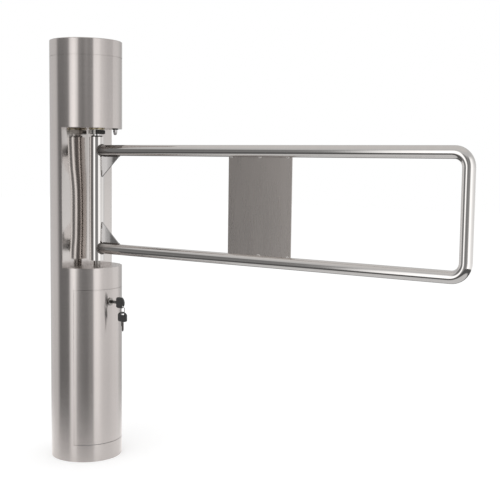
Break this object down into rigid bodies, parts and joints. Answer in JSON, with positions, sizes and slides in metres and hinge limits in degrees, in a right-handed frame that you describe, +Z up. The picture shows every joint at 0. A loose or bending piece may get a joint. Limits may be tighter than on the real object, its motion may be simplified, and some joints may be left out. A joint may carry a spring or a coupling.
{
  "type": "pedestrian swing gate",
  "caption": "Stainless-steel pedestrian swing gate: a round floor column with a cut-away middle, in which a framed arm of bent tube turns, and a lockable service door below.",
  "frame": {"origin": "on the floor, on the column's axis, at the centre of the circle of floor anchors", "axes": "+Z up along the column; +X from the column along the closed arm; +Y completes a right-handed frame"},
  "size_m": [1.0415, 0.168, 0.98],
  "materials": {
    "column_steel": "brushed along the column, satin",
    "tube_steel": "polished along the tube",
    "sign_steel": "brushed, satin",
    "panel_steel": "mirror-polished sheet",
    "bright_steel": "turned and polished",
    "dark_steel": "black oxide, oiled",
    "zinc_steel": "zinc plated",
    "bearing_bronze": "turned",
    "spacer_brass": "turned",
    "motor_paint": "black enamel",
    "supply_metal": "satin",
    "black_rubber": "matt",
    "washer_rubber": "matt",
    "black_plastic": "moulded, fine grain",
    "board_green": "solder mask"
  },
  "bodies": {
    "column": {"column_tube": "column_steel", "top_cap": "column_steel", "cap_screws": "zinc_steel", "closing_panel": "panel_steel", "lower_deck": "column_steel", "upper_deck": "column_steel", "base_plate": "zinc_steel", "upper_bush": "bearing_bronze", "bearing_housing": "dark_steel", "bearing_screws": "zinc_steel", "pivot_pin": "bright_steel", "pin_nut": "zinc_steel", "stop_post": "zinc_steel", "stop_buffer": "black_rubber", "stop_washer": "washer_rubber", "stop_nut": "bright_steel", "motor_plate": "zinc_steel", "motor_standoffs": "zinc_steel", "gear_motor": "motor_paint", "motor_screws": "zinc_steel", "sensor_post": "zinc_steel", "sensor_board": "board_green", "fork_sensor": "black_plastic", "door_jambs": "column_steel", "lock_keeper": "zinc_steel", "equipment_rails": "zinc_steel", "equipment_panel": "zinc_steel", "panel_screws": "zinc_steel", "power_supply": "supply_metal", "board_spacers": "spacer_brass", "control_board": "board_green", "board_parts": "black_plastic"},
    "arm": {"arm_tube": "tube_steel", "pivot_tube": "tube_steel", "upper_plug": "zinc_steel", "lower_plug": "zinc_steel", "lower_bush": "bearing_bronze", "thrust_pad": "bearing_bronze", "gussets": "tube_steel", "sign_plate": "sign_steel", "drive_shaft": "bright_steel", "thrust_washer": "dark_steel", "lock_nut": "dark_steel", "stop_disc": "zinc_steel", "driven_gear": "zinc_steel", "position_disc": "dark_steel"},
    "drive": {"output_shaft": "bright_steel", "drive_pinion": "zinc_steel"},
    "door": {"door_panel": "column_steel", "door_hooks": "zinc_steel", "lock_body": "bright_steel", "door_lock_nut": "zinc_steel"},
    "lock_plug": {"lock_plug": "bright_steel", "lock_cam": "zinc_steel", "cam_screw": "zinc_steel"},
    "key": {"key_blade": "bright_steel", "key_head": "black_plastic"},
    "key_ring": {"key_ring": "bright_steel"},
    "spare_key": {"spare_blade": "bright_steel", "spare_head": "black_plastic"}
  },
  "joints": [
    {"name": "arm_swing", "type": "hinge", "parent": "column", "child": "arm", "pos_m": [0.034, 0, 0], "axis": [0, 0, 1], "range_deg": [-90, 90]},
    {"name": "pinion_spin", "type": "hinge", "parent": "column", "child": "drive", "pos_m": [-0.02, 0, 0], "axis": [0, 0, 1], "range_deg": [-180, 180]},
    {"name": "door_tilt", "type": "hinge", "parent": "column", "child": "door", "pos_m": [0.084, 0, 0.0405], "axis": [0, 1, 0], "range_deg": [0, 25]},
    {"name": "lock_turn", "type": "hinge", "parent": "door", "child": "lock_plug", "pos_m": [0.084, -0.008, 0.3765], "axis": [1, 0, 0], "range_deg": [0, 90]},
    {"name": "key_slide", "type": "slide", "parent": "lock_plug", "child": "key", "axis": [1, 0, 0], "range_m": [0, 0.035]},
    {"name": "ring_swing", "type": "hinge", "parent": "key", "child": "key_ring", "pos_m": [0.12154, -0.008, 0.3669], "axis": [0, 1, 0], "range_deg": [-30, 15]},
    {"name": "spare_swing", "type": "hinge", "parent": "key_ring", "child": "spare_key", "pos_m": [0.12154, -0.008, 0.3519], "axis": [0, 1, 0], "range_deg": [-20, 20]}
  ],
  "couplings": [
    {"joint": "pinion_spin", "follows": "arm_swing", "ratio": -2}
  ]
}
